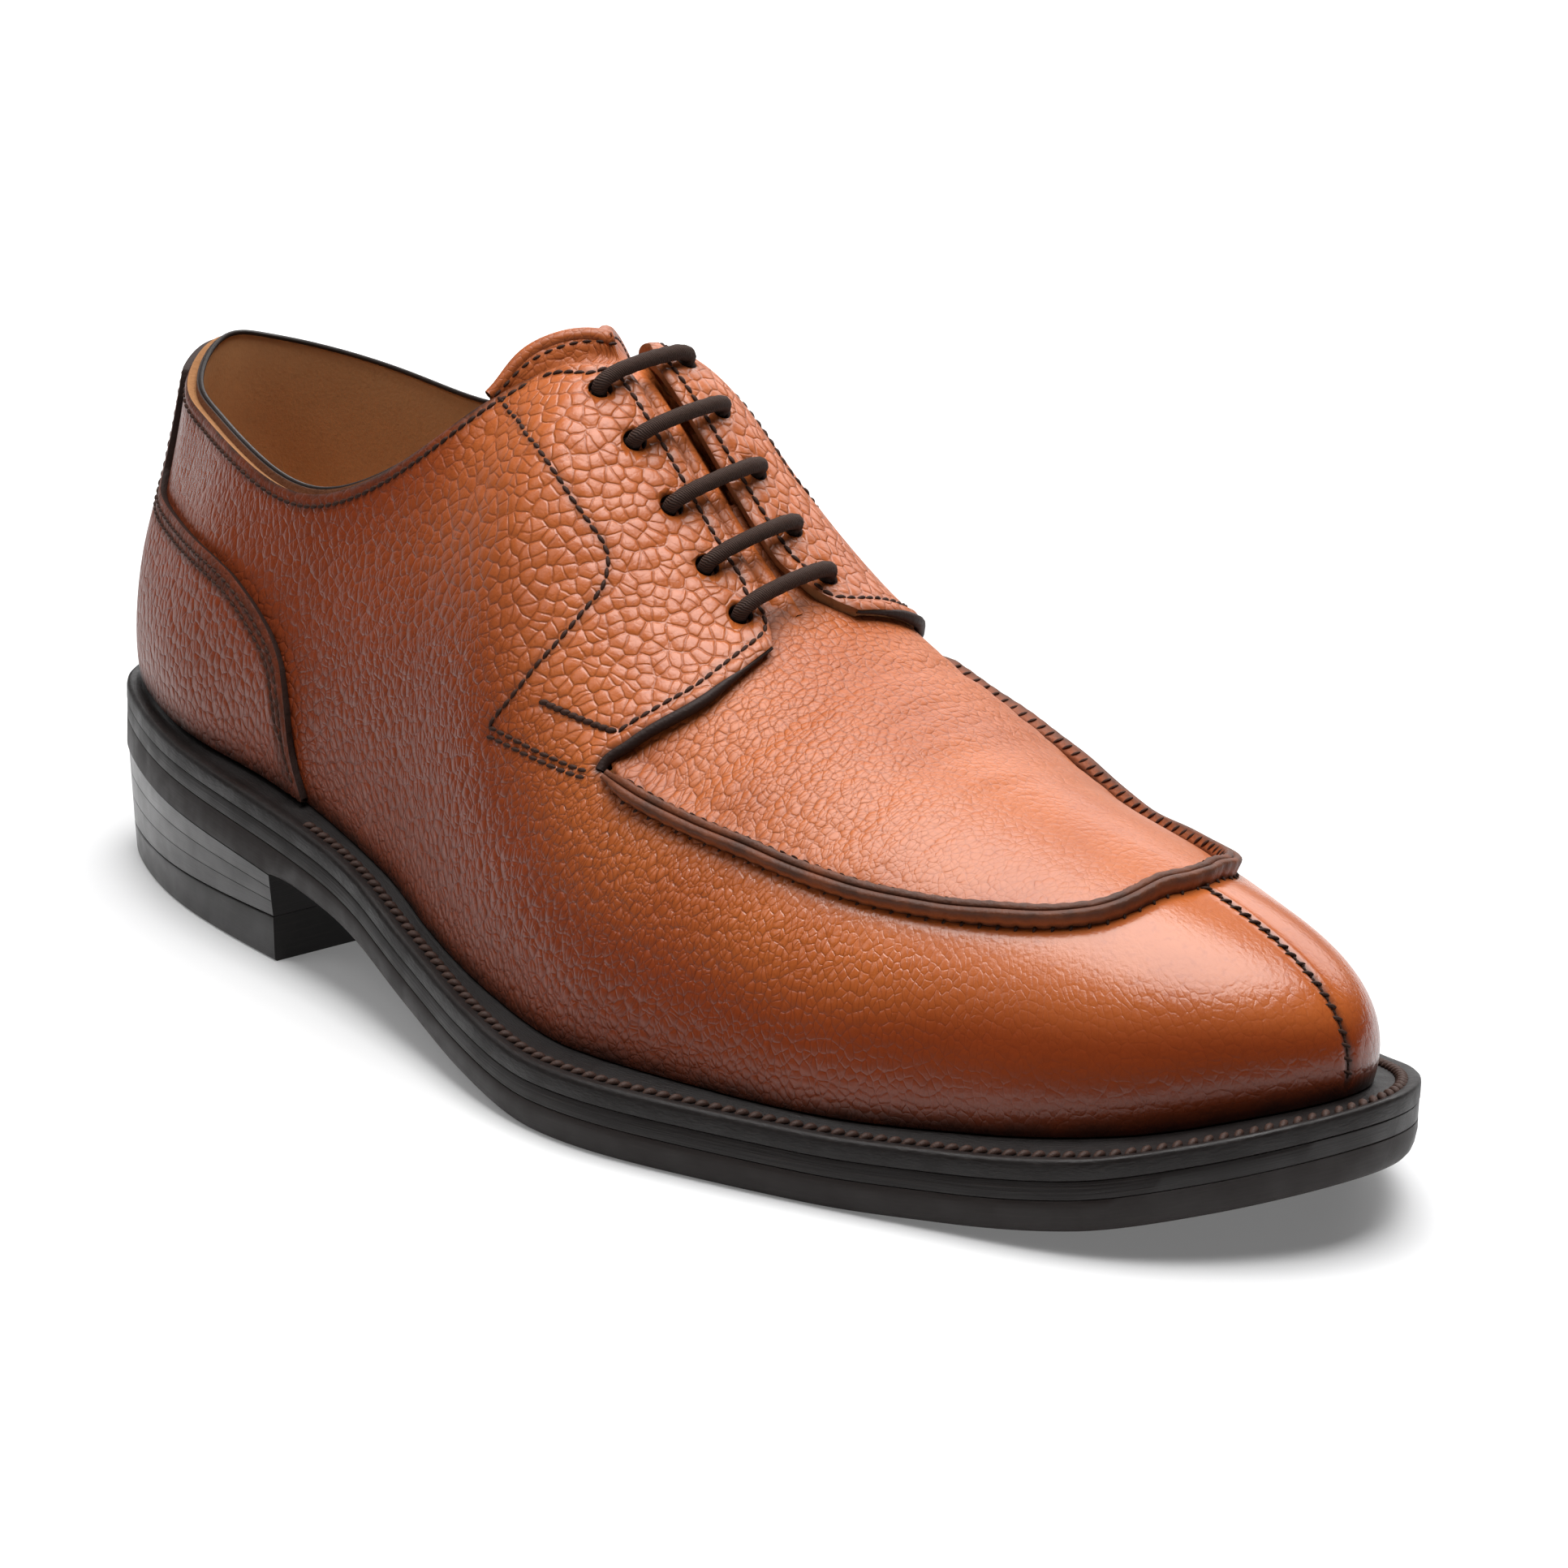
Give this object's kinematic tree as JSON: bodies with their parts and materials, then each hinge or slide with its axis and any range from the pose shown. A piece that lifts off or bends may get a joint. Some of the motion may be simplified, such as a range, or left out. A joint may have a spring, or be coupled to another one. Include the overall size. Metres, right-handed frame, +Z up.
{
  "type": "derby shoe",
  "caption": "Right leather derby shoe with open facings, straight lacing, raised apron seam, split toe, heel counter, stitched welt, thick sole and stacked heel.",
  "frame": {"origin": "middle of the shoe's bounding box on the floor it stands on", "axes": "+X from heel to toe, +Y towards the inner side of the foot, +Z up"},
  "size_m": [0.2978, 0.1147, 0.1179],
  "materials": {
    "upper_leather": "semi-gloss tan grained leather",
    "edge_leather": "burnished brown raised edge",
    "welt_leather": "dark brown waxed welt",
    "heel_leather": "black burnished stacked leather",
    "sole_rubber": "matte dark brown rubber",
    "lining_leather": "matte natural lining leather",
    "lace_cotton": "dark brown waxed cotton"
  },
  "bodies": {
    "root": {"upper": "upper_leather", "heel_counter": "upper_leather", "apron_seam": "edge_leather", "tongue": "upper_leather", "insole": "lining_leather", "welt": "welt_leather", "midsole": "heel_leather", "outsole": "sole_rubber", "heel_stack": "heel_leather", "heel_top_piece": "sole_rubber", "lace": "lace_cotton"}
  },
  "joints": []
}
